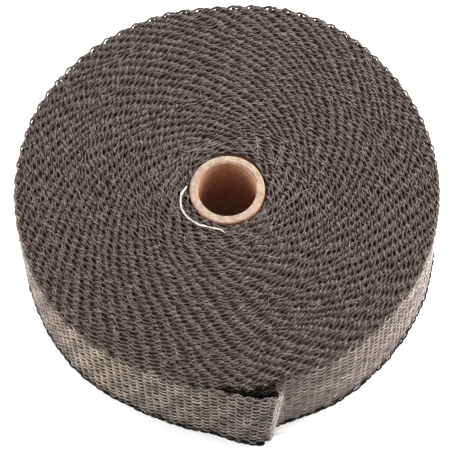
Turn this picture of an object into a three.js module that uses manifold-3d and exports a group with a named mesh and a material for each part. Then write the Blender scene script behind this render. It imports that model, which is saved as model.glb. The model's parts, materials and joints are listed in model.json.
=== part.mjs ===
// A roll of woven glass-fibre heat wrap for exhaust pipes, lying on its side face.
// Millimetres, +Z up. The roll's axis is vertical, and the origin is the middle of its footprint.
import * as THREE from "three";
import { mergeVertices } from "three/addons/utils/BufferGeometryUtils.js";
import Module from "manifold-3d";

// The tape as it is wound
const tapeWidth = 50.8; // two inches, the height of the roll as it lies
const turnThickness = 1.49; // one turn, squeezed by the turns round it
const turnCount = 50;

// The cardboard tube
const coreBore = 25.4;
const coreWall = 3.5;
const coreToRollGap = 0.3; // on the radius

// The turns that show on both ends: a groove after every few turns
const turnsPerGroove = 4;
const grooveWidth = 0.8;
const grooveDepth = 1;

// The free end, folded back under itself and standing off the roll
const tailLiftAngle = -113; // degrees about the roll's axis, +X is 0
const tailFoldAngle = -82.5;
const tailGapAngle = -98; // where the fold's inner layer meets the roll
const tailReach = 8; // how far the fold stands out from the roll
const foldThickness = 3.6; // two layers and the slack between them
const tailRoot = 1.2; // how deep the tail's root lies in the outer turns

const roundSteps = 60; // facets round the roll and the core
const tailSteps = 10; // points along each side of the tail
const noseSteps = 6; // points round the fold

const coreRadius = coreBore / 2 + coreWall;
const rollBoreRadius = coreRadius + coreToRollGap;
const rollRadius = rollBoreRadius + turnThickness * turnCount;

const wasm = await Module();
wasm.setup();

const wrapMaterial = new THREE.MeshStandardMaterial({ color: 0x5b524e, roughness: 0.9, metalness: 0 });
const cardboardMaterial = new THREE.MeshStandardMaterial({ color: 0xd9b48f, roughness: 0.85, metalness: 0 });

// Closed profile of radius and height, turned about the vertical axis
function turned(profile) {
  const points = [...profile, profile[0]].map(([radius, height]) => new THREE.Vector2(radius, height));
  return new THREE.LatheGeometry(points, roundSteps).rotateX(Math.PI / 2);
}

function polar(radius, degrees) {
  const angle = THREE.MathUtils.degToRad(degrees);
  return new THREE.Vector2(radius * Math.cos(angle), radius * Math.sin(angle));
}

function toSolid(geometry) {
  const bare = geometry.clone();
  bare.deleteAttribute("normal");
  bare.deleteAttribute("uv");
  const merged = mergeVertices(bare, 1e-4);
  const mesh = new wasm.Mesh({
    numProp: 3,
    vertProperties: new Float32Array(merged.attributes.position.array),
    triVerts: new Uint32Array(merged.index.array),
  });
  return new wasm.Manifold(mesh);
}

function toGeometry(solid) {
  const mesh = solid.getMesh();
  const geometry = new THREE.BufferGeometry();
  geometry.setAttribute("position", new THREE.BufferAttribute(mesh.vertProperties, 3));
  geometry.setIndex(new THREE.BufferAttribute(mesh.triVerts, 1));
  return geometry;
}

// Radius of each groove's middle, from the bore outwards
function grooveRadii() {
  const radii = [];
  for (let turn = turnsPerGroove; turn < turnCount; turn += turnsPerGroove) {
    radii.push(rollBoreRadius + turn * turnThickness);
  }
  return radii;
}

// The wound tape as one turned ring, grooved on both ends
function rollProfile() {
  const half = grooveWidth / 2;
  const bottom = grooveRadii().flatMap((radius) => [
    [radius - half, 0],
    [radius, grooveDepth],
    [radius + half, 0],
  ]);
  const top = bottom.map(([radius, height]) => [radius, tapeWidth - height]).reverse();
  return [
    [rollBoreRadius, 0],
    ...bottom,
    [rollRadius, 0],
    [rollRadius, tapeWidth],
    ...top,
    [rollBoreRadius, tapeWidth],
  ];
}

// Plan of the folded end: out along its outer face, round the fold and back to the roll
function tailShape() {
  const foldMiddle = polar(rollRadius + tailReach - foldThickness / 2, tailFoldAngle);
  const outline = [polar(rollRadius - tailRoot, tailLiftAngle)];
  for (let step = 0; step < tailSteps; step++) {
    const share = step / tailSteps;
    const angle = THREE.MathUtils.lerp(tailLiftAngle, tailFoldAngle, share);
    outline.push(polar(rollRadius + tailReach * share, angle));
  }
  for (let step = 0; step <= noseSteps; step++) {
    const bend = polar(foldThickness / 2, tailFoldAngle + (180 * step) / noseSteps);
    outline.push(foldMiddle.clone().add(bend));
  }
  const innerReach = tailReach - foldThickness;
  for (let step = 1; step <= tailSteps; step++) {
    const share = step / tailSteps;
    const angle = THREE.MathUtils.lerp(tailFoldAngle, tailGapAngle, share);
    outline.push(polar(rollRadius + THREE.MathUtils.lerp(innerReach, -tailRoot, share), angle));
  }
  for (let step = 1; step < tailSteps; step++) {
    const angle = THREE.MathUtils.lerp(tailGapAngle, tailLiftAngle, step / tailSteps);
    outline.push(polar(rollRadius - tailRoot, angle));
  }
  return new THREE.Shape(outline);
}

function wrapRoll() {
  const ring = toSolid(turned(rollProfile()));
  const tail = toSolid(new THREE.ExtrudeGeometry(tailShape(), { depth: tapeWidth, bevelEnabled: false }));
  const mesh = new THREE.Mesh(toGeometry(ring.add(tail)), wrapMaterial);
  mesh.name = "wrap_roll";
  return mesh;
}

function cardboardCore() {
  const profile = [
    [coreBore / 2, 0],
    [coreRadius, 0],
    [coreRadius, tapeWidth],
    [coreBore / 2, tapeWidth],
  ];
  const mesh = new THREE.Mesh(turned(profile), cardboardMaterial);
  mesh.name = "cardboard_core";
  return mesh;
}

const heatWrap = new THREE.Group();
heatWrap.add(wrapRoll(), cardboardCore());

// The tail reaches past the roll, so the middle of the footprint lies beside the roll's axis
const footprint = new THREE.Box3().setFromObject(heatWrap, true).getCenter(new THREE.Vector3());
heatWrap.position.set(-footprint.x, -footprint.y, 0);

export default heatWrap;
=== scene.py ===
import json
import math

import bpy
import numpy as np
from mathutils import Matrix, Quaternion, Vector

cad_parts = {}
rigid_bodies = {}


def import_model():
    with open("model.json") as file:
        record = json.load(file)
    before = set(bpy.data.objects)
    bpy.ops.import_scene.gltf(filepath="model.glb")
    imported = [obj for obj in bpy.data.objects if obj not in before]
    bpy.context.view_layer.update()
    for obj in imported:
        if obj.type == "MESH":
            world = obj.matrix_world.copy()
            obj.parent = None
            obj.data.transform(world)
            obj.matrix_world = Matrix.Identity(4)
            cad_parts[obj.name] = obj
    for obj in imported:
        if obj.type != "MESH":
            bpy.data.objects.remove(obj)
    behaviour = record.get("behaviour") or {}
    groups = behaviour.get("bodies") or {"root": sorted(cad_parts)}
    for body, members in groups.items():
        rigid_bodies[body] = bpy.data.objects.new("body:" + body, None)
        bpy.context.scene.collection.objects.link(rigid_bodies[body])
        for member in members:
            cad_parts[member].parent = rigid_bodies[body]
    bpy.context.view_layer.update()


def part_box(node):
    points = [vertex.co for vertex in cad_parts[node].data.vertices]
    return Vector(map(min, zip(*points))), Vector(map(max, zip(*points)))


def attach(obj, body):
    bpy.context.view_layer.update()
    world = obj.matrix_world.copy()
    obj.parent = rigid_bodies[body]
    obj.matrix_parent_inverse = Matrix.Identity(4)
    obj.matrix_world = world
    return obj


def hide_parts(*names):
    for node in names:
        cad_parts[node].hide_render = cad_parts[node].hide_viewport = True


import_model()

mm = 0.001
scene = bpy.context.scene

# where the roll and its tube stand in the frame, in millimetres
rollLow, rollHigh = (np.array(corner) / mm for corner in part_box("wrap_roll"))
coreLow, coreHigh = (np.array(corner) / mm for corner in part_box("cardboard_core"))
axisXY = (coreLow[:2] + coreHigh[:2]) / 2
rollRadius = (rollHigh[0] - rollLow[0]) / 2
coreRadius = (coreHigh[0] - coreLow[0]) / 2

tape = {
    "width": rollHigh[2],
    "thickness": 1.49,      # of one wound turn
    "turns": 49.5,
    "stepsPerTurn": 240,    # of the route
    "period": 6.55,         # two picks of the weft, along the tape
    "warps": 28,            # across the width
    "clearOfCore": 0.3,
    "innerTightness": 1.04,  # above 1, the turns near the tube are thinner
    "outermost": 0.8,       # how far the last turn's middle lies outside the solid
    "nesting": 0.14,        # how strongly a turn slips to sit in the hollows of the last one
    "nestSway": 0.05,
    # wanderings, as (amount, wavelength, seed)
    "slips": [(0.12, 190.0, 2), (0.12, 37.0, 3)],
    "weftShifts": [(0.05, 3.1, 81), (0.08, 10.7, 82)],
}
tail = {
    "foldAngle": -79.3,     # degrees, seen from above
    "liftAngle": -97.0,
    "liftCurve": 1.5,
    "reach": 7.5,           # how far the fold stands out
    "layerGap": 1.1,        # slack between the two layers of the fold
    "foldSteps": 8,
    "returnLength": 15.0,   # what is folded under
    "returnOut": 4.0,       # about how far that lies outside the solid
    "returnSteps": 26,
    "returnDrop": 1.3,      # its edges lie this much lower
    "lean": 4.4,            # how far the fold leans back at its foot
    "leanLength": 34.0, "leanCurve": 1.5, "leanPeriods": 6,
    "tuck": 0.8,            # the last turns lie tighter at their foot than at their top
    "tuckPeriods": 4,       # and so do these before them
    "cornerLength": 8.0,    # the fold's lower corner is rounded
    "cornerRise": 7.0,
}
wanderWaves = [(0.5, 1.0), (0.3, 0.61), (0.2, 0.37)]   # share and stretch of each


# slow wandering of a value, the same at each run
def wander(x, wavelength, seed):
    rng = np.random.default_rng(seed)
    total = np.zeros(np.shape(x))
    for share, stretch in wanderWaves:
        total = total + share * np.sin(2 * np.pi * (x / (wavelength * stretch) + rng.random()))
    return total


# a value with several wanderings added to it
def wandered(value, x, terms):
    for amount, wavelength, seed in terms:
        value = value + amount * wander(x, wavelength, seed)
    return value


def normalised(vectors):
    return vectors / np.maximum(np.linalg.norm(vectors, axis=-1, keepdims=True), 1e-9)


def upright(shape):
    return np.broadcast_to([0.0, 0.0, 1.0], shape)


# slack and dents in the roll's outline, as (angle, millimetres, spread in degrees)
outOfRound = [(62, 1.9, 17), (92, -1.1, 10), (150, 0.5, 14), (-165, -0.7, 18),
              (-118, -1.2, 12), (-89, 1.7, 12), (-85, 1.2, 5), (-62, 0.7, 12)]


def outlineSlack(angle, radius):
    degrees = np.degrees(angle)
    slack = np.zeros(np.shape(angle))
    for middle, depth, spread in outOfRound:
        away = (degrees - middle + 180) % 360 - 180
        slack = slack + depth * np.exp(-(away / spread) ** 2)
    return slack * (radius / rollRadius) ** 2


# The tape's route seen from above: the spiral, the lifted end, the fold and the layer under it
def tapeRoute():
    stepsPerTurn = tape["stepsPerTurn"]
    innerRadius = coreRadius + tape["clearOfCore"] + tape["thickness"] / 2
    outerRadius = rollRadius + tape["outermost"]
    lastAngle = math.radians(tail["foldAngle"])
    steps = int(tape["turns"] * stepsPerTurn)
    angle = lastAngle - 2 * np.pi * np.arange(steps, -1, -1) / stepsPerTurn
    share = np.linspace(0, 1, steps + 1)
    radius = innerRadius + (outerRadius - innerRadius) * share ** tape["innerTightness"]
    radius = radius + outlineSlack(angle, radius)
    liftStart = math.radians(tail["liftAngle"])
    lift = np.clip((angle - liftStart) / (lastAngle - liftStart), 0, 1)
    lift = np.where(angle > liftStart, lift, 0) ** tail["liftCurve"]
    radius = radius + (tail["reach"] - tape["outermost"] - tape["thickness"] / 2) * lift
    spiral = np.stack([radius * np.cos(angle), radius * np.sin(angle)], 1)

    # the fold is a half turn, and the layer under it comes back towards the roll
    out = spiral[-1] / np.linalg.norm(spiral[-1])
    along = np.array([-out[1], out[0]])
    bendRadius = (tape["thickness"] + tail["layerGap"]) / 2
    bend = np.linspace(0, np.pi, tail["foldSteps"] + 1)[1:]
    foldMiddle = spiral[-1] - out * bendRadius
    fold = foldMiddle + bendRadius * (np.cos(bend)[:, None] * out + np.sin(bend)[:, None] * along)
    backSteps = np.linspace(0, 1, tail["returnSteps"] + 1)[1:]
    backAngle = lastAngle - backSteps * tail["returnLength"] / (rollRadius + tail["returnOut"])
    startRadius = np.linalg.norm(fold[-1])
    returnShare = math.degrees(tail["returnLength"] / rollRadius) / 360
    underFold = steps - stepsPerTurn - int(returnShare * stepsPerTurn)
    endRadius = radius[underFold] + tape["thickness"]
    backRadius = startRadius + (endRadius - startRadius) * backSteps
    back = np.stack([backRadius * np.cos(backAngle), backRadius * np.sin(backAngle)], 1)
    points = np.concatenate([spiral, fold, back])

    along = normalised(np.gradient(points, axis=0))
    out = np.stack([along[:, 1], -along[:, 0]], 1)   # the side that faces out on the spiral
    length = np.concatenate([[0], np.cumsum(np.linalg.norm(np.diff(points, axis=0), axis=1))])
    foldStep = steps + tail["foldSteps"] // 2
    return {"points": points, "out": out, "length": length, "angle": angle,
            "foldStep": foldStep, "foldLength": length[foldStep], "spiralSteps": steps + 1}


route = tapeRoute()


# The weave's phase along the tape: it slips a little so that each turn nests in the one before
def weavePhase():
    length, angle, perTurn = route["length"], route["angle"], tape["stepsPerTurn"]
    phase = np.zeros(len(length))
    slip = wandered(0.0, length, tape["slips"])
    for i in range(1, len(length)):
        step = (length[i] - length[i - 1]) / tape["period"]
        pull = 0.0
        if perTurn < i < route["spiralSteps"]:
            wanted = 0.5 + tape["nestSway"] * math.sin(angle[i] - math.pi) + slip[i]
            pull = math.sin(2 * math.pi * (phase[i - 1] - phase[i - 1 - perTurn] - wanted))
        phase[i] = phase[i - 1] + step * (1 - tape["nesting"] * pull)
    return phase


phaseOfStep = weavePhase()
phaseEnd = phaseOfStep[-1]
phaseFold = phaseOfStep[route["foldStep"]]
phaseLastTurn = phaseOfStep[route["spiralSteps"] - 1 - tape["stepsPerTurn"]]
print("tape length", round(route["length"][-1] / 1000, 2), "m, periods", int(phaseEnd))


# Places on the tape, from its phase, its depth (out is positive) and its height.
# The wefts aren't evenly spaced.
def onTape(phase, depth, height):
    shifted = wandered(phase, phase, tape["weftShifts"])

    def along(values):
        return np.interp(shifted, phaseOfStep, values)
    x, y = along(route["points"][:, 0]), along(route["points"][:, 1])
    outX, outY = along(route["out"][:, 0]), along(route["out"][:, 1])
    tucked = phase > phaseLastTurn - tail["tuckPeriods"]
    depth = depth - tail["tuck"] * (1 - height / tape["width"]) * tucked
    place = np.stack([x + outX * depth, y + outY * depth, height + 0 * x], -1)
    # the fold leans back at its foot, and its lower corner is rounded
    toFold = np.abs(along(route["length"]) - route["foldLength"])
    leaning = np.clip(1 - toFold / tail["leanLength"], 0, 1) ** tail["leanCurve"]
    lean = tail["lean"] * leaning * (phase > phaseFold - tail["leanPeriods"])
    foldAlong = math.radians(tail["foldAngle"]) + math.pi / 2
    share = 1 - place[..., 2] / tape["width"]
    place[..., 0] -= lean * share * math.cos(foldAlong)
    place[..., 1] -= lean * share * math.sin(foldAlong)
    nearness = np.clip(1 - toFold / tail["cornerLength"], 0, 1)
    rise = tail["cornerRise"] * (1 - np.sqrt(1 - nearness ** 2))
    place[..., 2] += rise * share
    out = normalised(np.stack([outX, outY, 0 * outX], -1))
    return place, out


# heights of the tape's two edges, as (amount, wavelength): no two turns end at just the same level
edgeWaves = [(0.28, 31.0), (0.16, 5.3)]


def edgeRise(phase, seed):
    folded = np.clip((phase - phaseFold - 0.1) / 0.4, 0, 1)
    terms = [(*wave, seed + number) for number, wave in enumerate(edgeWaves)]
    return wandered(0.0, phase, terms) - tail["returnDrop"] * folded


# Tubes along many lines at once. wide gives the direction of the yarn's flat width.
def tubeRings(lines, wide, halfWidth, halfDepth, sides):
    tangent = normalised(np.gradient(lines, axis=1))
    deep = normalised(np.cross(tangent, wide))
    wide = np.cross(deep, tangent)
    turn = 2 * np.pi * (np.arange(sides) + 0.5) / sides
    halfWidth = np.broadcast_to(halfWidth, lines.shape[:2])[..., None, None]
    halfDepth = np.broadcast_to(halfDepth, lines.shape[:2])[..., None, None]
    across = halfWidth * np.cos(turn)[None, None, :, None] * wide[:, :, None]
    through = halfDepth * np.sin(turn)[None, None, :, None] * deep[:, :, None]
    return lines[:, :, None] + across + through


def makeMesh(name, vertices, faceSets, yarnMap=None, bakeMap=None, tone=None):
    mesh = bpy.data.meshes.new(name)
    mesh.vertices.add(len(vertices))
    world = vertices + np.array([axisXY[0], axisXY[1], 0])
    mesh.vertices.foreach_set("co", (world * mm).astype(np.float32).ravel())
    corners = np.concatenate([faces.ravel() for faces in faceSets])
    sizes = np.concatenate([np.full(len(faces), faces.shape[1]) for faces in faceSets])
    starts = np.concatenate([[0], np.cumsum(sizes)[:-1]])
    mesh.loops.add(len(corners))
    mesh.loops.foreach_set("vertex_index", corners.astype(np.int32))
    mesh.polygons.add(len(sizes))
    mesh.polygons.foreach_set("loop_start", starts.astype(np.int32))
    mesh.polygons.foreach_set("use_smooth", np.ones(len(sizes), bool))
    mesh.update(calc_edges=True)
    if yarnMap is not None:
        layer = mesh.uv_layers.new(name="yarn")
        layer.data.foreach_set("uv", yarnMap.astype(np.float32).ravel())
    if bakeMap is not None:
        layer = mesh.uv_layers.new(name="OFBake")
        flat = np.concatenate([bakeMap(vertices[faces]).reshape(-1, 2) for faces in faceSets])
        layer.data.foreach_set("uv", flat.astype(np.float32).ravel())
    if tone is not None:
        attribute = mesh.attributes.new("tone", "FLOAT", "POINT")
        attribute.data.foreach_set("value", np.clip(tone, 0, 1).astype(np.float32))
    mesh.validate()
    piece = bpy.data.objects.new(name, mesh)
    scene.collection.objects.link(piece)
    return piece


# A closed body from rings of points, each joined to the next one and the last to the first
def ringBody(name, rings):
    count, segments = len(rings), len(rings[0])
    here = np.arange(count * segments).reshape(count, segments)
    after = np.roll(here, -1, 0)
    quads = np.stack([here, np.roll(here, -1, 1), np.roll(after, -1, 1), after], -1).reshape(-1, 4)
    return makeMesh(name, np.concatenate(rings), [quads])


bake = {
    "margin": 12.0,         # of the map round the roll, in millimetres
    "slope": -0.02,         # below this a face looks the other way
    "cornerSize": 0.09, "cornerInset": 0.005,
    "roundWidth": 0.96, "sideFoot": 0.1, "sideHeight": 0.85, "sideCorner": 0.08,
}


# The bake maps: seen from above or below, or unrolled round the side.
# Faces that look the other way go small into a free corner.
def facing(corners):
    return normalised(np.cross(corners[:, 1] - corners[:, 0], corners[:, 2] - corners[:, 0]))


def mapFromAbove(corners, up=1.0):
    flat = 0.5 + corners[..., :2] / (2 * (rollRadius + bake["margin"]))
    away = (facing(corners)[:, 2] * up < bake["slope"])[:, None, None]
    return np.where(away, bake["cornerInset"] + bake["cornerSize"] * flat, flat)


def mapFromBelow(corners):
    return mapFromAbove(corners, -1.0)


def mapRoundSide(corners):
    angle = np.arctan2(corners[..., 0], -corners[..., 1])
    angle = angle + np.where(angle - angle[:, :1] > np.pi, -2 * np.pi, 0)
    angle = angle + np.where(angle - angle[:, :1] < -np.pi, 2 * np.pi, 0)
    flat = np.stack([0.5 + angle / (2 * np.pi) * bake["roundWidth"],
                     bake["sideFoot"] + corners[..., 2] / tape["width"] * bake["sideHeight"]], -1)
    middle = corners.mean(1)
    away = (facing(corners)[:, :2] * middle[:, :2]).sum(1) < bake["slope"] * rollRadius
    return np.where(away[:, None, None], flat * [1, bake["sideCorner"]], flat)


yarnStagger = 7.3   # along the yarn map, so that neighbours don't show the same streaks


# Joins sets of yarns into one piece. A set holds lines, their wide direction, sizes, sides and tone.
# The yarn map runs along each yarn in millimetres and round it from 0 to 1.
def yarnPiece(name, sets, bakeMap):
    vertices, faceSets, maps, tones = [], [], [], []
    offset = 0
    for group in sets:
        lines, sides = group["lines"], group["sides"]
        count, points = lines.shape[:2]
        index = offset + np.arange(count * points * sides).reshape(count, points, sides)
        here, after = index[:, :-1], index[:, 1:]
        quads = np.stack([here, np.roll(here, -1, 2), np.roll(after, -1, 2), after], -1)
        caps = np.concatenate([index[:, 0, ::-1], index[:, -1]])
        faceSets += [quads.reshape(-1, 4), caps]
        steps = np.linalg.norm(np.diff(lines, axis=1), axis=-1)
        run = np.concatenate([np.zeros((count, 1)), np.cumsum(steps, 1)], 1)
        run = run + yarnStagger * np.arange(count)[:, None]
        side = np.arange(sides) / sides
        quadMap = np.zeros((count, points - 1, sides, 4, 2))
        quadMap[..., 0] = np.stack([run[:, :-1], run[:, :-1], run[:, 1:], run[:, 1:]], -1)[:, :, None]
        quadMap[..., 1] = np.stack([side, side + 1 / sides, side + 1 / sides, side], -1)
        ends = np.concatenate([run[:, 0], run[:, -1]])[:, None, None]
        capMap = np.broadcast_to(ends, (*caps.shape, 2))
        maps += [quadMap.reshape(-1, 2), capMap.reshape(-1, 2)]
        tone = np.asarray(group["tone"])
        tone = tone if tone.ndim == 3 else tone[..., None]
        tones.append(np.broadcast_to(tone, (count, points, sides)).reshape(-1))
        rings = tubeRings(lines, group["wide"], group["halfWidth"], group["halfDepth"], sides)
        vertices.append(rings.reshape(-1, 3))
        offset += count * points * sides
    return makeMesh(name, np.concatenate(vertices), faceSets, np.concatenate(maps), bakeMap,
                    np.concatenate(tones))


selvedge = {
    "archSteps": 8, "archSides": 5, "archWidth": 0.58, "archDepth": 0.42, "archRound": 0.8,
    "archDrop": 2.0, "archSwing": 0.74,
    "warpSteps": 8, "warpSides": 4, "warpWidth": 0.46, "warpDepth": 0.36, "warpSwing": 0.48,
    "sink": (0.98, 0.12, 0.22, 0.26),       # of the edge warp: its middle, tilt, wave and wandering
    "swingWander": 0.3,
    "overlap": 0.05,        # how far an arch reaches past its own half period
    "bunching": 0.25,       # of an arch's points towards its middle
    "halfLength": 0.27,     # of an arch, in periods
    "slack": 1.6, "slackPeriods": 40,       # the turns next to the tube lie this much looser
    "jitterLimit": 2.4,
    "placeJitter": 0.055, "swingJitter": 0.28, "shiftJitter": 0.1, "riseJitter": 0.2,
    "lengthJitter": 0.1,
    "rimSwing": 0.5,        # the outer rim is drawn tight,
    "rimOut": 0.12, "rimWarp": 0.3,         # and its edge warp is thicker and lies further out
    "lowest": 0.42,         # the lower edge lies on the floor
    "inReturn": 0.3,        # periods over which the tape darkens past the fold: painted shade on the folded layer
    "warpTone": (0.54, 0.18, 0.1, 0.35),    # its base, painted shade by depth, the wandering and painted shade past the fold
    "archTone": (0.22, 0.24, 0.06, 0.5),    # its base, painted light on the crown, the wandering and painted shade past the fold
    "rimPaintedHighlight": 0.3,         # painted highlight where the last wefts bend over onto the outer face
    "tailWorn": (0.16, 1.6),                # amount and periods
}


# The woven edge of each turn: in one half of a period the weft turns over the edge warp,
# in the other half the warp lies deep and a hole is left
def selvedgeSets(firstPhase, lastPhase, top, seed):
    rng = np.random.default_rng(seed)
    level = tape["width"] if top else 0.0
    down = -1.0 if top else 1.0
    shift = 0.0 if top else 0.5
    edgeSeed = 11 if top else 21
    # the edge warp
    total = int((lastPhase - firstPhase) * selvedge["warpSteps"])
    phase = np.linspace(firstPhase, lastPhase, total + 1)[None]
    cycle = 2 * np.pi * (phase - shift)
    middle, tilt, wave, wandering = selvedge["sink"]
    sink = middle - tilt * np.sin(cycle) - wave * np.cos(2 * cycle) + wandering * wander(phase, 2.3, seed + 7)
    swing = -selvedge["warpSwing"] * np.cos(cycle)
    swing = swing * (1 + selvedge["swingWander"] * wander(phase, 2.9, seed + 8))
    height = level + down * (sink - edgeRise(phase, edgeSeed))
    onLast = 1.0 * (phase > phaseLastTurn)
    lines, out = onTape(phase, swing + selvedge["rimOut"] * onLast, height)
    # painted shade on the edge warp: darker the deeper it sinks, and past the fold
    inReturn = np.clip((phase - phaseFold) / selvedge["inReturn"], 0, 1)
    base, deep, wandering, folded = selvedge["warpTone"]
    warpSet = {"lines": lines, "wide": out, "sides": selvedge["warpSides"],
               "halfWidth": selvedge["warpWidth"] * (1 + selvedge["rimWarp"] * onLast),
               "halfDepth": selvedge["warpDepth"],
               "tone": base - deep * sink + wandering * wander(phase, 1.7, seed + 5) - folded * inReturn}
    # the weft arches
    first = np.arange(math.ceil(firstPhase), math.floor(lastPhase - 0.5)) + shift
    u = np.linspace(0, 1, selvedge["archSteps"])
    reach = 2 * u - 1
    bunching = selvedge["bunching"]
    reach = (1 + selvedge["overlap"]) * ((1 - bunching) * reach + bunching * reach ** 3)
    loose = 1 + selvedge["slack"] * np.exp(-first / selvedge["slackPeriods"])[:, None]
    limit = selvedge["jitterLimit"]
    jitter = np.clip(rng.normal(0, 1, (len(first), 5)), -limit, limit) * loose
    place, lift, bend, shifted, size = (jitter[:, i:i + 1] for i in range(5))
    looseness = 1 + selvedge["lengthJitter"] * size
    phase = first[:, None] + 0.25 + selvedge["halfLength"] * reach * looseness
    phase = phase + selvedge["placeJitter"] * place
    arch = np.sin(np.pi * u) ** selvedge["archRound"]
    swing = -selvedge["archSwing"] * np.sin(np.pi / 2 * reach * 0.98) * (1 + selvedge["swingJitter"] * bend)
    swing = swing + selvedge["shiftJitter"] * shifted
    swing = np.where((phase > phaseLastTurn) & (swing > 0), selvedge["rimSwing"] * swing, swing)
    rise = edgeRise(phase, edgeSeed) + selvedge["riseJitter"] * lift * arch
    height = level + down * (selvedge["archDepth"] + selvedge["archDrop"] * (1 - arch) - rise)
    height = np.maximum(height, selvedge["lowest"])
    lines, out = onTape(phase, swing, height)
    # painted highlight where the last turn's wefts bend over onto the outer face; the tail is worn paler too
    amount, periods = selvedge["tailWorn"]
    highlightAndWear = selvedge["rimPaintedHighlight"] * (phase > phaseLastTurn) * np.clip(-reach, 0, 1)
    highlightAndWear = highlightAndWear + amount * np.exp(-((phase - phaseFold + 1) / periods) ** 2)
    inReturn = np.clip((phase - phaseFold) / selvedge["inReturn"], 0, 1)
    # painted light on the arches: paler on the crown and darker down the ends, painted shade past the fold
    base, crown, wandering, folded = selvedge["archTone"]
    archSet = {"lines": lines, "wide": out, "sides": selvedge["archSides"],
               "halfWidth": selvedge["archWidth"] * looseness * (0.78 + 0.22 * arch),
               "halfDepth": selvedge["archDepth"] * (0.8 + 0.2 * arch),
               "tone": base + crown * arch + wandering * (bend + wander(phase, 9.0, seed + 3))
               + highlightAndWear - folded * inReturn}
    return [warpSet, archSet]


fabric = {
    "warpSwing": 0.68, "warpWidth": 0.8, "warpDepth": 0.38, "warpStepsPerPick": 4, "warpSides": 5,
    "swingWander": 0.3,
    "floatWidth": 0.78,     # of a warp's width, where it passes over a weft
    "diveWidth": 0.7,
    "drift": 0.3, "rowJitter": 0.12, "heightWander": 0.42, "slantWander": 0.25,   # of a warp's height
    "floatDrop": 0.1, "lowest": 0.5, "belowTop": 0.9,
    "warpTone": 0.5, "toneWave": 0.06, "toneWander": 0.2, "toneDrift": 0.06, "tonePatch": 0.11,
    "toneJitter": 0.04,
    "footShade": 0.4, "footRows": 2.2, "topShade": 0.22,
    "shade": [1.3, 0.92, 0.4, 0.3, 0.45],   # painted light round a warp: top and outside painted pale as lit, underside and inner side dark as painted shade
    "weftSwing": 0.1, "weftWidth": 0.95, "weftDepth": 0.35, "weftStepsPerWarp": 2, "weftSides": 5,
    "weftLevel": -0.32, "weftEnds": 0.4, "weftShift": 0.03, "weftJitter": 0.06,
    # the wefts are painted dark: painted shade where they show between the floats
    "weftTone": 0.13, "weftWander": 0.04,
    "hiddenPicks": 10,      # of the turn below the tail that are still made
    # painted light: a painted highlight at the fold, painted shade on the folded layer, in the gap and beside
    # the fold
    "foldPaintedHighlight": 0.6, "foldSpread": 0.26, "foldedShade": 0.55, "gapShade": 0.5,
    "besideShade": 0.24, "besidePeriods": 1.5,
}
firstPick = math.floor(phaseLastTurn * 2) - fabric["hiddenPicks"]
lastPick = math.floor(phaseEnd * 2) - 1


# painted light along the tape: a painted highlight at the fold, painted shade past the fold, on both faces
# inside the gap and beside the fold
def paintedLightAlongTape(phase):
    fold = np.exp(-((phase - phaseFold + 0.18) / fabric["foldSpread"]) ** 2)
    folded = np.clip((phase - phaseFold - 0.15) / 0.25, 0, 1)
    inGap = np.clip((phaseLastTurn + 0.15 - phase) / 0.3, 0, 1)
    besideFold = np.exp(-np.clip(phase - phaseLastTurn, 0, None) / fabric["besidePeriods"])
    return (fabric["foldPaintedHighlight"] * fold - fabric["foldedShade"] * folded
            - fabric["gapShade"] * inGap - fabric["besideShade"] * besideFold)


# The outer face of the last turn: warps run round the roll, wefts stand across it.
# The uppermost warp lies half under the woven edge.
def outerWarps():
    steps = (lastPick - firstPick) * fabric["warpStepsPerPick"]
    phase = np.linspace(firstPick, lastPick, steps + 1)[None] / 2
    rows = np.arange(tape["warps"])[:, None]
    rng = np.random.default_rng(5)
    spacing = tape["width"] / tape["warps"]
    wave = np.cos(np.pi * (2 * phase + rows))
    bulge = 0.5 + 0.5 * wave
    height = (rows + 0.5) * spacing + fabric["drift"] * wander(phase, 17.0, 31)
    height = height + fabric["rowJitter"] * rng.normal(0, 1, (len(rows), 1))
    height = height + fabric["heightWander"] * wander(phase + rows * 5.1, 2.6, 33)
    height = height + fabric["slantWander"] * wander(phase * 1.3 - rows * 0.31, 4.1, 37)
    height = height - fabric["floatDrop"] * bulge
    height = np.clip(height, fabric["lowest"], tape["width"] - fabric["belowTop"])
    swing = fabric["warpSwing"] * wave * (1 + fabric["swingWander"] * wander(phase + rows * 2.3, 1.9, 35))
    lines = onTape(phase, swing, height)[0]
    narrowing = np.where(wave > 0, fabric["floatWidth"] - 1, 1 - fabric["diveWidth"])
    share = 1 + narrowing * wave
    # painted light: floats a little paler, dives darker as painted shade
    tone = fabric["warpTone"] + fabric["toneWave"] * wave
    tone = tone + fabric["toneWander"] * wander(phase + rows * 3.3, 1.7, 41)
    tone = tone + fabric["toneDrift"] * wander(phase, 14.0, 43)
    tone = tone + fabric["tonePatch"] * wander(phase * 1.1 + rows * 0.43, 6.3, 45)
    tone = tone + paintedLightAlongTape(phase) + fabric["toneJitter"] * rng.normal(0, 1, (len(rows), 1))
    tone = tone - fabric["footShade"] * np.exp(-rows / fabric["footRows"])
    tone = tone - fabric["topShade"] * (rows == tape["warps"] - 1)
    return [{"lines": lines, "wide": upright(lines.shape), "sides": fabric["warpSides"],
             "halfWidth": fabric["warpWidth"] * share, "halfDepth": fabric["warpDepth"],
             "tone": tone[..., None] * np.array(fabric["shade"])}]


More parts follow.
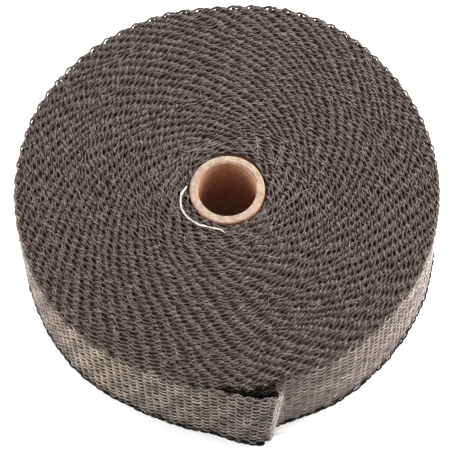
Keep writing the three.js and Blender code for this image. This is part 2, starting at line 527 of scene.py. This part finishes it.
def outerWefts():
    picks = np.arange(firstPick, lastPick + 1)[:, None]
    steps = tape["warps"] * fabric["weftStepsPerWarp"]
    place = np.linspace(fabric["weftEnds"], tape["warps"] - fabric["weftEnds"], steps + 1)[None]
    rng = np.random.default_rng(6)
    wave = -np.cos(np.pi * (picks + place - 0.5))
    phase = picks / 2 + fabric["weftShift"] * wander(place + picks * 2.7, 13.0, 51)
    height = place * tape["width"] / tape["warps"] + 0 * phase
    lines, out = onTape(phase, fabric["weftLevel"] + fabric["weftSwing"] * wave, height)
    thickness = 1 + fabric["weftJitter"] * rng.normal(0, 1, (len(picks), 1))
    # painted shade: the wefts are dark, and the painted light along the tape is added
    tone = fabric["weftTone"] + fabric["weftWander"] * wander(place + picks * 1.9, 9.0, 53) + paintedLightAlongTape(phase)
    return [{"lines": lines, "wide": np.cross(upright(out.shape), out), "sides": fabric["weftSides"],
             "halfWidth": fabric["weftWidth"] * thickness, "halfDepth": fabric["weftDepth"], "tone": tone}]


loops = {
    "pitch": 3.4, "length": 3.5, "radius": 0.42, "steps": 13, "sides": 5,
    "reach": 1.0, "leftTighter": 0.25, "inset": 0.1,
    "overrun": 0.12,        # of a turn, at both ends of a loop
    "slant": 0.25,
    "height": 0.7, "heightWave": 0.3, "heightHump": 0.25,
    "lengthJitter": 0.1, "reachJitter": 0.16, "heightJitter": 0.14,
    "tone": 0.2, "toneJitter": 0.05,
}


# The lower edge is knitted: a chain of dark loops that lies on the floor round the roll
def edgeLoops():
    rng = np.random.default_rng(12)
    firstPhase, lastPhase = phaseLastTurn - 2, phaseFold - 1.0
    count = int((lastPhase - firstPhase) * tape["period"] / loops["pitch"])
    middle = np.linspace(firstPhase, lastPhase, count)[:, None]
    jitter = rng.normal(0, 1, (count, 4))
    size, stretch, lift, shade = (jitter[:, i:i + 1] for i in range(4))
    turn = np.linspace(-loops["overrun"], 1 + loops["overrun"], loops["steps"])[None] * 2 * np.pi
    wide = loops["length"] * (1 + loops["lengthJitter"] * size)
    run = wide * np.sin(turn) * 0.5 + loops["slant"] * turn / np.pi - loops["slant"]
    phase = middle + run / tape["period"]
    angle = np.interp(phase, phaseOfStep[:route["spiralSteps"]], route["angle"])
    reach = loops["reach"] * (1 + loops["leftTighter"] * np.cos(angle))
    reach = reach * (1 + loops["reachJitter"] * stretch)
    outward = loops["inset"] + reach * (0.5 - 0.5 * np.cos(turn))
    height = loops["height"] + loops["heightWave"] * np.cos(turn)
    height = height + loops["heightHump"] * np.sin(turn / 2) ** 2 + loops["heightJitter"] * lift
    height = np.maximum(height, loops["radius"])
    lines = onTape(phase, outward, height)[0]
    return [{"lines": lines, "wide": upright(lines.shape), "sides": loops["sides"],
             "halfWidth": loops["radius"], "halfDepth": loops["radius"],
             "tone": loops["tone"] + loops["toneJitter"] * shade}]


packed = {
    "sink": 3.0, "sideSink": 0.8, "segments": 128,
    "lipSink": 1.7, "lipWidth": 2.2, "lipFoot": 3.0,   # it stands higher under the last turns
}


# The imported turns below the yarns, a plain dark body
def packedTurns():
    inside, outside = coreRadius + tape["clearOfCore"], rollRadius - packed["sideSink"]
    foot, top, lip = packed["sink"], tape["width"] - packed["sink"], tape["width"] - packed["lipSink"]
    profile = [(inside, foot), (outside, foot), (outside, lip), (outside - packed["lipWidth"], lip),
               (outside - packed["lipFoot"], top), (inside, top)]
    angle = 2 * np.pi * np.arange(packed["segments"]) / packed["segments"]
    rings = []
    for radius, height in profile:
        outline = radius + outlineSlack(angle, radius)
        rings.append(np.stack([outline * np.cos(angle), outline * np.sin(angle),
                               np.full(len(angle), height)], 1))
    return ringBody("packed_turns", rings)


core = {
    "segments": 160,
    "wall": 3.5,
    "rim": 0.5,             # rounding of the cut edge
    "burr": 0.9,            # the saw pressed the lower edge inwards
    "seamDepth": 1.1,       # the inner ply stands loose there
    "seamFrom": 10.0, "seamTo": 125.0,
    "seamFade": 14.0,       # degrees
    "seamInset": 0.5,
    "seamHalf": 0.16,
    "plyLean": 0.14,
    "rough": 0.05, "outOfRound": 0.06,
}


# The cardboard tube, with its inner ply loose over part of the top edge
def cardboardTube():
    bore, outside, top = coreRadius - core["wall"], coreRadius, tape["width"]
    rim, burr, seamHalf = core["rim"], core["burr"], core["seamHalf"]
    seam = bore + core["seamInset"]
    profile = [(bore - burr, 0), (outside - rim, 0), (outside, rim), (outside, top * 0.5),
               (outside, top - rim), (outside - rim * 0.35, top - rim * 0.3), (outside - rim * 1.2, top),
               ((outside + seam) / 2 + 0.5, top + 0.05), (seam + 0.5, top + 0.02),
               (seam + seamHalf, top), (seam, top), (seam - seamHalf, top),
               (bore + rim * 0.4, top - 0.02), (bore, top - rim * 0.6), (bore, top * 0.5),
               (bore, 1.6), (bore - burr, 0.5)]
    seamRing, plyRings = 10, (11, 12, 13)
    angle = 2 * np.pi * np.arange(core["segments"]) / core["segments"]
    degrees = np.degrees(angle)
    middle, half = (core["seamFrom"] + core["seamTo"]) / 2, (core["seamTo"] - core["seamFrom"]) / 2
    away = np.abs((degrees - middle + 180) % 360 - 180)
    gaping = np.clip((half - away) / core["seamFade"], 0, 1)
    rings = []
    for number, (radius, height) in enumerate(profile):
        rough = core["rough"] * wander(degrees + number * 37, 23.0, 60 + number)
        z = height + (rough if height > top - 1 else 0 * angle)
        r = radius + 0.5 * rough + core["outOfRound"] * wander(degrees, 170, 70)
        if number == seamRing:
            z = z - core["seamDepth"] * gaping
        if number in plyRings:
            r = r - core["plyLean"] * gaping
        rings.append(np.stack([r * np.cos(angle), r * np.sin(angle), z], 1))
    return ringBody("cardboard_tube", rings)


fibres = {
    "onTop": 800, "nearCore": 120, "onSide": 420, "atFold": 380, "besideFold": 60,
    "radius": 0.035, "steps": 5, "curl": 0.8,
    "toneJitter": 0.12,
    "frayed": 20,           # longer strands pulled loose down the fold
    "frayedSteps": 24, "frayedWidth": 0.14, "frayedDepth": 0.1, "frayedTone": 0.8,
    "clearOfCore": 0.4, "clearOfFloor": 0.1, "aboveTop": 1.6,
}


# Broken filaments that stand off the yarns
def looseFibres():
    rng = np.random.default_rng(9)
    u = np.linspace(-0.5, 0.5, fibres["steps"])[None]

    # flat curls in the plane of two directions, standing off it by rise
    def curls(start, first, second, away, length, spread, rise, tone):
        count = len(start)
        heading = rng.normal(0, spread, (count, 1)) + rng.normal(0, fibres["curl"], (count, 1)) * u
        step = rng.uniform(*length, (count, 1)) / (fibres["steps"] - 1)
        along = np.cumsum(np.cos(heading) * step, 1)[..., None] * first[:, None]
        across = np.cumsum(np.sin(heading) * step, 1)[..., None] * second[:, None]
        standing = np.abs(rng.normal(0, rise, (count, 1))) * (1 - 4 * u * u)
        lines = start[:, None] + along + across + standing[..., None] * away[:, None]
        return {"lines": lines, "wide": np.broadcast_to([0.3, 0.2, 0.93], lines.shape), "sides": 3,
                "halfWidth": fibres["radius"], "halfDepth": fibres["radius"],
                "tone": tone + fibres["toneJitter"] * rng.normal(0, 1, (count, 1))}

    def onEnd(count, innermost, outermost):
        radius = np.sqrt(rng.uniform(innermost ** 2, outermost ** 2, count))
        angle = rng.uniform(0, 2 * np.pi, count)
        out = np.stack([np.cos(angle), np.sin(angle), 0 * angle], 1)
        along = np.stack([-np.sin(angle), np.cos(angle), 0 * angle], 1)
        start = out * radius[:, None] + [0, 0, tape["width"] - 0.2]
        return start, along, out, upright(out.shape)

    def onFace(firstPhase, lastPhase, count, low, high, standOff):
        phase = rng.uniform(firstPhase, lastPhase, count)
        start, out = onTape(phase, np.full(count, standOff), rng.uniform(low, high, count))
        upward = upright(out.shape)
        return start, np.cross(upward, out), upward, out

    start, along, out, upward = onEnd(fibres["onTop"], 18, 90)
    sets = [curls(start, along, out, upward, (2, 6), 0.6, 0.2, 0.42)]
    start, along, out, upward = onEnd(fibres["nearCore"], coreRadius + 0.5, coreRadius + 11)
    sets.append(curls(start, along, out, upward, (4, 12), 0.5, 0.35, 0.42))
    start, along, upward, out = onFace(phaseLastTurn, phaseFold, fibres["onSide"], 1, 50, 0.8)
    sets.append(curls(start, along, upward, out, (2, 6), 0.7, 0.2, 0.5))
    start, along, upward, out = onFace(phaseFold - 0.5, phaseFold + 0.1, fibres["atFold"], 4, 49.5, 0.7)
    sets.append(curls(start, upward, along, out, (2, 6), 0.5, 0.15, 0.6))
    beside = phaseLastTurn + 0.5
    start, along, upward, out = onFace(beside, beside + 1.6, fibres["besideFold"], 26, 50, 0.9)
    sets.append(curls(start, upward, along, out, (3, 8), 0.9, 0.5, 0.5))
    count, fine = fibres["frayed"], np.linspace(0, 1, fibres["frayedSteps"])[None]
    number = np.arange(count)[:, None]
    phase = phaseFold - 0.16 + 0.13 * rng.normal(0, 1, (count, 1)) + 0.1 * wander(fine * 3 + number, 2.0, 91)
    height = rng.uniform(36, 50, (count, 1)) - fine * rng.uniform(12, 34, (count, 1))
    lines, out = onTape(phase, 0.9 + 0.3 * wander(fine * 5 + number * 0.7, 1.7, 92), height)
    sets.append({"lines": lines, "wide": out, "sides": 4,
                 "halfWidth": fibres["frayedWidth"], "halfDepth": fibres["frayedDepth"],
                 "tone": fibres["frayedTone"] + 0.15 * rng.normal(0, 1, (count, 1))})
    for group in sets:   # none of them hangs into the tube or reaches into the floor
        reach = np.linalg.norm(group["lines"][..., :2], axis=-1).min(1)
        height = group["lines"][..., 2]
        keep = (reach > coreRadius + fibres["clearOfCore"]) & (height.min(1) > fibres["clearOfFloor"])
        keep = keep & (height.max(1) < tape["width"] + fibres["aboveTop"])
        for key in ("lines", "wide", "tone"):
            group[key] = group[key][keep]
    return sets


# The stray thread beside the tube. Its route is seen from above, about the roll's axis.
thread = {
    "route": [(-17.1, 3.0), (-19.9, -2.2), (-20.5, -5.5), (-19.4, -10.4), (-16.9, -13.9),
              (-12.3, -16.5), (-7.6, -18.2), (-1.6, -19.5)],
    "strands": 4, "spread": 0.5, "radius": 0.13, "steps": 40,
    "above": 0.35, "wave": 0.25, "endDrop": 1.2,
    "tone": 0.75,
}


# It is a bundle of a few filaments that run together.
def strayThread():
    seed, spread = 71, thread["spread"]
    rng = np.random.default_rng(seed)
    points = np.array(thread["route"])
    run = np.concatenate([[0], np.cumsum(np.linalg.norm(np.diff(points, axis=0), axis=1))])
    fine = np.linspace(0, run[-1], thread["steps"])
    x, y = np.interp(fine, run, points[:, 0]), np.interp(fine, run, points[:, 1])
    kernel = np.array([1, 2, 3, 2, 1]) / 9
    for _ in range(2):
        x[2:-2] = np.convolve(x, kernel, "valid")
        y[2:-2] = np.convolve(y, kernel, "valid")
    lines = []
    for number in range(thread["strands"]):
        own = seed + 10 * number
        dx = spread * wander(fine, 16.0, own) + rng.normal(0, spread * 0.3)
        dy = spread * wander(fine, 14.0, own + 1) + rng.normal(0, spread * 0.3)
        z = tape["width"] + thread["above"] + thread["wave"] * wander(fine, 9.0, own + 2)
        z = z - thread["endDrop"] * (np.abs(fine / run[-1] - 0.5) * 2) ** 8
        lines.append(np.stack([x + dx, y + dy, z], -1))
    lines = np.stack(lines)
    return [{"lines": lines, "wide": upright(lines.shape), "sides": 4, "halfWidth": thread["radius"],
             "halfDepth": thread["radius"], "tone": np.full((1, 1), thread["tone"])}]


# Shader groups
def newGroup(name, inputs, outputs):
    group = bpy.data.node_groups.new(name, "ShaderNodeTree")
    for label, kind, value in inputs:
        socket = group.interface.new_socket(name=label, in_out="INPUT", socket_type=kind)
        if value is not None:
            socket.default_value = value
    for label, kind in outputs:
        group.interface.new_socket(name=label, in_out="OUTPUT", socket_type=kind)
    nodes = group.nodes
    return group, nodes.new("NodeGroupInput"), nodes.new("NodeGroupOutput")


def mathNode(tree, operation, first, second=None, clamp=False):
    node = tree.nodes.new("ShaderNodeMath")
    node.operation = operation
    node.use_clamp = clamp
    for socket, value in zip(node.inputs, (first, second)):
        if value is None:
            continue
        if isinstance(value, (int, float)):
            socket.default_value = value
        else:
            tree.links.new(value, socket)
    return node.outputs[0]


def mixColour(tree, factor, first, second, blend="MIX"):
    node = tree.nodes.new("ShaderNodeMix")
    node.data_type = "RGBA"
    node.blend_type = blend
    for socket, value in zip((node.inputs[0], node.inputs[6], node.inputs[7]), (factor, first, second)):
        if isinstance(value, (int, float)):
            socket.default_value = value
        elif isinstance(value, tuple):
            socket.default_value = (*value, 1) if len(value) == 3 else value
        else:
            tree.links.new(value, socket)
    return node.outputs[2]


def mapRange(tree, value, fromRange, toRange=(0.0, 1.0), kind="LINEAR"):
    node = tree.nodes.new("ShaderNodeMapRange")
    node.interpolation_type = kind
    for label, number in zip(("From Min", "From Max", "To Min", "To Max"), (*fromRange, *toRange)):
        node.inputs[label].default_value = number
    tree.links.new(value, node.inputs[0])
    return node.outputs[0]


def splitVector(tree, vector):
    node = tree.nodes.new("ShaderNodeSeparateXYZ")
    tree.links.new(vector, node.inputs[0])
    return node.outputs


def addBump(tree, shader, height, strength, distance):
    bump = tree.nodes.new("ShaderNodeBump")
    bump.inputs["Strength"].default_value = strength
    bump.inputs["Distance"].default_value = distance
    tree.links.new(height, bump.inputs["Height"])
    tree.links.new(bump.outputs[0], shader.inputs["Normal"])


strands = {
    "scale": 0.42, "detail": 5.0, "roughness": 0.65,
    "contrast": (0.36, 0.66),
    "groove": (0.5, 0.0),
    "roundness": 0.5, "relief": 0.6,
}


# Filaments and the grooves between two twisted plies, from the yarn's own map
def filamentGroup():
    tree, given, result = newGroup(
        "filaments",
        [("Along", "NodeSocketFloat", 0.5), ("Across", "NodeSocketFloat", 3.2),
         ("Lay", "NodeSocketFloat", 4.0)],
        [("Streaks", "NodeSocketFloat"), ("Groove", "NodeSocketFloat"), ("Height", "NodeSocketFloat")])
    yarnMap = tree.nodes.new("ShaderNodeUVMap")
    yarnMap.uv_map = "yarn"
    along, around, _ = splitVector(tree, yarnMap.outputs[0])
    turned = mathNode(tree, "ADD", around, mathNode(tree, "DIVIDE", along, given.outputs["Lay"]))
    angle = mathNode(tree, "MULTIPLY", turned, 2 * math.pi)
    ringX = mathNode(tree, "MULTIPLY", mathNode(tree, "COSINE", angle), given.outputs["Across"])
    ringY = mathNode(tree, "MULTIPLY", mathNode(tree, "SINE", angle), given.outputs["Across"])
    run = mathNode(tree, "MULTIPLY", along, given.outputs["Along"])
    join = tree.nodes.new("ShaderNodeCombineXYZ")
    for socket, value in zip(join.inputs, (ringX, ringY, run)):
        tree.links.new(value, socket)
    noise = tree.nodes.new("ShaderNodeTexNoise")
    noise.inputs["Scale"].default_value = strands["scale"]
    noise.inputs["Detail"].default_value = strands["detail"]
    noise.inputs["Roughness"].default_value = strands["roughness"]
    tree.links.new(join.outputs[0], noise.inputs["Vector"])
    tree.links.new(mapRange(tree, noise.outputs[0], strands["contrast"]), result.inputs["Streaks"])
    ply = mathNode(tree, "ABSOLUTE", mathNode(tree, "SINE", angle))
    groove = mapRange(tree, ply, strands["groove"], kind="SMOOTHSTEP")
    tree.links.new(groove, result.inputs["Groove"])
    height = mathNode(tree, "ADD", mathNode(tree, "POWER", ply, strands["roundness"]),
                      mathNode(tree, "MULTIPLY", noise.outputs[0], strands["relief"]))
    tree.links.new(height, result.inputs["Height"])
    return tree


# Slow uneven colour over the whole roll
def mottleGroup():
    tree, given, result = newGroup(
        "mottle", [("Size", "NodeSocketFloat", 40.0), ("Detail", "NodeSocketFloat", 3.0)],
        [("Mask", "NodeSocketFloat")])
    place = tree.nodes.new("ShaderNodeTexCoord")
    noise = tree.nodes.new("ShaderNodeTexNoise")
    tree.links.new(place.outputs["Object"], noise.inputs["Vector"])
    tree.links.new(given.outputs["Size"], noise.inputs["Scale"])
    tree.links.new(given.outputs["Detail"], noise.inputs["Detail"])
    tree.links.new(mapRange(tree, noise.outputs[0], (0.35, 0.68)), result.inputs["Mask"])
    return tree


filaments = filamentGroup()
mottle = mottleGroup()


def useGroup(tree, group, **values):
    node = tree.nodes.new("ShaderNodeGroup")
    node.node_tree = group
    for label, value in values.items():
        node.inputs[label].default_value = value
    return node


def newMaterial(name):
    material = bpy.data.materials.new(name)
    material.use_nodes = True
    tree = material.node_tree
    return material, tree, tree.nodes["Principled BSDF"]


def glassYarn(name, look):
    material, tree, shader = newMaterial(name)
    streaks = useGroup(tree, filaments, Along=look["along"], Across=look["across"], Lay=look["lay"])
    patches = useGroup(tree, mottle, Size=look["patchSize"])
    tone = tree.nodes.new("ShaderNodeAttribute")
    tone.attribute_name = "tone"
    colour = mixColour(tree, streaks.outputs["Streaks"], look["dark"], look["pale"])
    place = tree.nodes.new("ShaderNodeTexCoord")
    sideways = splitVector(tree, place.outputs["Object"])[0]
    onLeft = mapRange(tree, sideways, look["stainPlace"], (0.0, look["stain"]))
    stained = mathNode(tree, "MULTIPLY", patches.outputs["Mask"], onLeft)
    colour = mixColour(tree, stained, colour, look["stainColour"])
    # painted shade in the grooves between the plies
    grooved = mathNode(tree, "MULTIPLY", streaks.outputs["Groove"], look["groove"])
    unshaded = mathNode(tree, "SUBTRACT", 1.0, grooved)
    brightness = mathNode(tree, "MULTIPLY", mathNode(tree, "MULTIPLY", tone.outputs["Fac"], 2.0), unshaded)
    grey = tree.nodes.new("ShaderNodeCombineColor")
    for socket in grey.inputs[:3]:
        tree.links.new(brightness, socket)
    colour = mixColour(tree, 1.0, colour, grey.outputs[0], "MULTIPLY")
    tree.links.new(colour, shader.inputs["Base Color"])
    rough = mapRange(tree, streaks.outputs["Streaks"], (0.0, 1.0), look["rough"])
    tree.links.new(rough, shader.inputs["Roughness"])
    shader.inputs["Specular IOR Level"].default_value = look["shine"]
    addBump(tree, shader, streaks.outputs["Height"], look["bump"], 0.0002)
    return material


yarnLook = {
    "dark": (0.035, 0.0255, 0.0232), "pale": (0.103, 0.079, 0.072),
    "stain": 0.0, "stainColour": (0.30, 0.235, 0.155),
    "stainPlace": (0.01, -0.05),    # it grows from none to all between these, in metres
    "patchSize": 45.0,
    "along": 0.5, "across": 3.2, "lay": 4.2, "groove": 0.45,
    "rough": (0.5, 0.72), "shine": 0.16, "bump": 0.7,
}
# painted light: the outer face's yarn is a paler copy of the cut side's yarn
sideLook = {**yarnLook, "dark": (0.095, 0.076, 0.068), "pale": (0.285, 0.238, 0.218),
            "stain": 0.35, "groove": 0.25, "shine": 0.08}
loopLook = {**yarnLook, "dark": (0.016, 0.0145, 0.013), "pale": (0.045, 0.041, 0.037), "shine": 0.05}
fibreLook = {**yarnLook, "dark": (0.2, 0.18, 0.165), "pale": (0.38, 0.35, 0.33),
             "bump": 0.0, "groove": 0.0}
topYarn = glassYarn("glass yarn, cut side", yarnLook)
sideYarn = glassYarn("glass yarn, outer face", sideLook)
loopYarn = glassYarn("glass yarn, knitted edge", loopLook)
fibreGlass = glassYarn("broken filaments", fibreLook)


packedLook = {"patchSize": 900.0, "dark": (0.05, 0.031, 0.027), "pale": (0.085, 0.056, 0.048), "rough": 0.9}


def deepShade():
    material, tree, shader = newMaterial("packed turns")
    shade = useGroup(tree, mottle, Size=packedLook["patchSize"])
    colour = mixColour(tree, shade.outputs["Mask"], packedLook["dark"], packedLook["pale"])
    tree.links.new(colour, shader.inputs["Base Color"])
    shader.inputs["Roughness"].default_value = packedLook["rough"]
    return material


boardLook = {
    "face": [(0.225, 0.096, 0.05), (0.32, 0.146, 0.08)],
    "edge": [(0.16, 0.112, 0.08), (0.26, 0.192, 0.144)],
    "edgeFrom": 0.68, "edgeSharpness": 6.0,     # by how far a face looks up or down
    "pulpSize": 420.0, "speckSize": 1500.0, "speckColour": (0.12, 0.075, 0.048), "speckShare": 0.4,
    "rough": 0.8, "bump": 0.5, "bumpHeight": 0.0003,
}


def cardboard():
    material, tree, shader = newMaterial("cardboard")
    place = tree.nodes.new("ShaderNodeNewGeometry")
    upDown = mathNode(tree, "ABSOLUTE", splitVector(tree, place.outputs["Normal"])[2])
    cut = mathNode(tree, "MULTIPLY", mathNode(tree, "SUBTRACT", upDown, boardLook["edgeFrom"]),
                   boardLook["edgeSharpness"], True)
    pulp = useGroup(tree, mottle, Size=boardLook["pulpSize"], Detail=6.0)
    speck = useGroup(tree, mottle, Size=boardLook["speckSize"], Detail=4.0)
    specks = mathNode(tree, "MULTIPLY", speck.outputs["Mask"], boardLook["speckShare"])
    face = mixColour(tree, pulp.outputs["Mask"], *boardLook["face"])
    edge = mixColour(tree, pulp.outputs["Mask"], *boardLook["edge"])
    edge = mixColour(tree, specks, edge, boardLook["speckColour"])
    colour = mixColour(tree, cut, face, edge)
    tree.links.new(colour, shader.inputs["Base Color"])
    shader.inputs["Roughness"].default_value = boardLook["rough"]
    addBump(tree, shader, speck.outputs["Mask"], boardLook["bump"], boardLook["bumpHeight"])
    return material


def dress(piece, material, slot, *nodes):
    piece.data.materials.append(material)
    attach(piece, "root")
    if nodes:
        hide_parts(*nodes)


# Build the pieces. The woven edges are left off at both ends of the tape.
phaseMiddle = float(np.interp(0.5, route["length"] / route["length"][-1], phaseOfStep))
phaseFirst, phaseLast = 0.6, phaseEnd - 0.6
dress(packedTurns(), deepShade(), "glass_weave", "wrap_roll")
innerSets = selvedgeSets(phaseFirst, phaseMiddle, True, 101)
outerSets = selvedgeSets(phaseMiddle, phaseLast, True, 102)
dress(yarnPiece("top_turns_inner", innerSets, mapFromAbove), topYarn, "glass_weave")
dress(yarnPiece("top_turns_outer", outerSets, mapFromAbove), topYarn, "glass_weave")
print("top face made")
# underneath, the arches alone are enough
selvedge["archSteps"] = 6
underSets = selvedgeSets(phaseFirst, phaseLast, False, 103)[1:]
dress(yarnPiece("under_turns", underSets, mapFromBelow), topYarn, "glass_weave")
print("underside made")
dress(yarnPiece("outer_warps", outerWarps(), mapRoundSide), sideYarn, "glass_weave")
dress(yarnPiece("outer_wefts", outerWefts(), mapRoundSide), sideYarn, "glass_weave")
dress(yarnPiece("edge_loops", edgeLoops(), mapRoundSide), loopYarn, "glass_weave")
print("outer face made")
dress(yarnPiece("loose_fibres", looseFibres(), mapFromAbove), fibreGlass, "glass_weave")
dress(yarnPiece("stray_thread", strayThread(), mapFromAbove), fibreGlass, "glass_weave")
dress(cardboardTube(), cardboard(), "cardboard", "cardboard_core")
print("tube and threads made")

for piece in scene.objects:
    if piece.type == "MESH" and not piece.hide_render:
        print(piece.name, len(piece.data.loops) - 2 * len(piece.data.polygons), "triangles")

# Floor, light and camera
floorSize, floorDrop = 6.0, 0.0002
floorMesh = bpy.data.meshes.new("floor")
floorCorners = [(x * floorSize, y * floorSize, 0) for x, y in ((-1, -1), (1, -1), (1, 1), (-1, 1))]
floorMesh.from_pydata(floorCorners, [], [(0, 1, 2, 3)])
floor = bpy.data.objects.new("floor", floorMesh)
floor.location.z = -floorDrop
scene.collection.objects.link(floor)
floorPaint, floorTree, floorShader = newMaterial("pale floor")
floorShader.inputs["Base Color"].default_value = (0.95, 0.95, 0.95, 1)
floorShader.inputs["Roughness"].default_value = 0.9
floorMesh.materials.append(floorPaint)

studio = {
    "world": 0.79,
    "aimHeight": 0.03,
    "lamps": [              # name, place, size and power
        ("left lamp", (-1.1, 0.0, 0.4), 0.8, 22.5),
        ("right lamp", (1.09, 0.12, 0.4), 0.8, 23.5),
        ("back lamp", (0.45, 0.55, 0.6), 0.9, 31.0),
    ],
}
world = bpy.data.worlds.new("studio")
scene.world = world
world.use_nodes = True
background = world.node_tree.nodes["Background"]
background.inputs[0].default_value = (1, 1, 1, 1)
background.inputs[1].default_value = studio["world"]
target = Vector((axisXY[0] * mm, axisXY[1] * mm, studio["aimHeight"]))
for name, place, size, power in studio["lamps"]:
    light = bpy.data.lights.new(name, "AREA")
    light.size = size
    light.energy = power
    lamp = bpy.data.objects.new(name, light)
    lamp.location = target + Vector(place)
    lamp.rotation_euler = (-Vector(place)).to_track_quat("-Z", "Y").to_euler()
    scene.collection.objects.link(lamp)
scene.view_settings.view_transform = "Standard"

shot = {
    "lens": 234.3, "sensor": 36.0,
    "from": (0.0, -557.5, 1188.5),   # about the roll's axis, in millimetres
    "at": (-0.9, 0.0, 13.5),
    "roll": -2.15,
    "farthest": 20.0,
}
camera = bpy.data.objects.new("camera", bpy.data.cameras.new("camera"))
scene.collection.objects.link(camera)
camera.data.sensor_width = shot["sensor"]
camera.data.lens = shot["lens"]
camera.data.clip_end = shot["farthest"]
stand = np.array([axisXY[0], axisXY[1], 0])
camera.location = Vector((np.array(shot["from"]) + stand) * mm)
look = Vector((np.array(shot["at"]) + stand) * mm) - camera.location
camera.rotation_mode = "QUATERNION"
camera.rotation_quaternion = look.to_track_quat("-Z", "Y") @ Quaternion((0, 0, 1), math.radians(shot["roll"]))
scene.camera = camera

print("scene ready")
